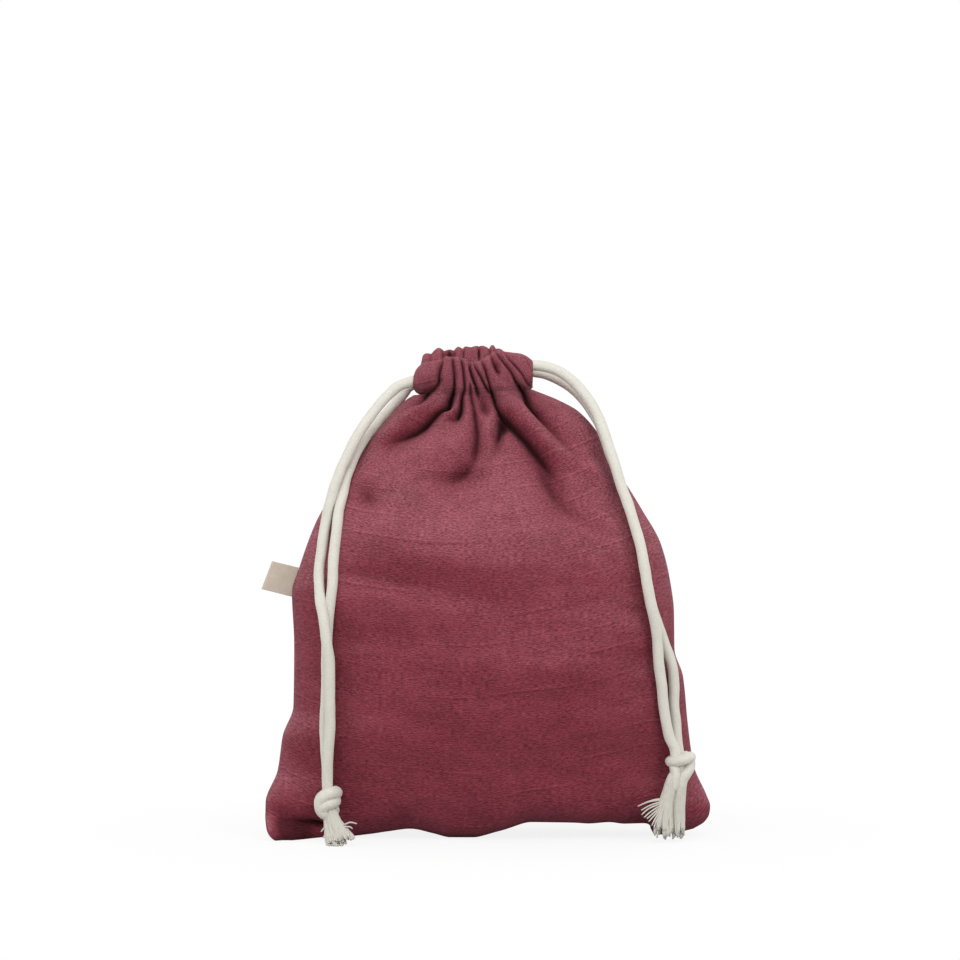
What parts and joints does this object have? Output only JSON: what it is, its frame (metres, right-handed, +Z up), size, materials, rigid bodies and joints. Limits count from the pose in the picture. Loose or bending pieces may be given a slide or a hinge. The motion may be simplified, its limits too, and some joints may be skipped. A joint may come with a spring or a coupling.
{
  "type": "drawstring gift bag",
  "caption": "Cloth gift bag with a gathered mouth in sewn casings, drawn shut by knotted cotton cords, with a plain side label.",
  "frame": {"origin": "on the floor under the middle of the standing bag, where its bottom edge rests", "axes": "+Z up towards the drawn mouth, +X to the right in the picture, -Y out of the front"},
  "size_m": [0.2379, 0.0941, 0.2589],
  "materials": {
    "cloth": "matte double gauze cotton, dark rose",
    "cord": "matte braided cotton, off-white",
    "label_tape": "matte woven tape, beige",
    "seam_thread": "overcast seam allowance, dark rose"
  },
  "bodies": {
    "bag": {"front_panel": "cloth", "back_panel": "cloth", "front_casing": "cloth", "back_casing": "cloth", "left_side_seam": "seam_thread", "right_side_seam": "seam_thread", "bottom_seam": "seam_thread", "left_cord_mouth_run": "cord", "right_cord_mouth_run": "cord"},
    "label": {"side_label": "label_tape"},
    "left_cord": {"left_cord_front_leg": "cord", "left_cord_back_leg": "cord", "left_knot": "cord", "left_front_tail": "cord", "left_back_tail": "cord"},
    "right_cord": {"right_cord_front_leg": "cord", "right_cord_back_leg": "cord", "right_knot": "cord", "right_front_tail": "cord", "right_back_tail": "cord"}
  },
  "joints": [
    {"name": "left_cord_swing", "type": "hinge", "parent": "bag", "child": "left_cord", "pos_m": [-0.0415, 0, 0.2405], "axis": [0, 1, 0], "range_deg": [0, 80]},
    {"name": "right_cord_swing", "type": "hinge", "parent": "bag", "child": "right_cord", "pos_m": [0.0282, 0, 0.2475], "axis": [0, -1, 0], "range_deg": [0, 80]},
    {"name": "label_flap", "type": "hinge", "parent": "bag", "child": "label", "pos_m": [-0.10292, 0, 0.133], "axis": [0.2289, 0, 0.9735], "range_deg": [-50, 50], "stiffness_Nm_per_rad": 0.0001}
  ]
}
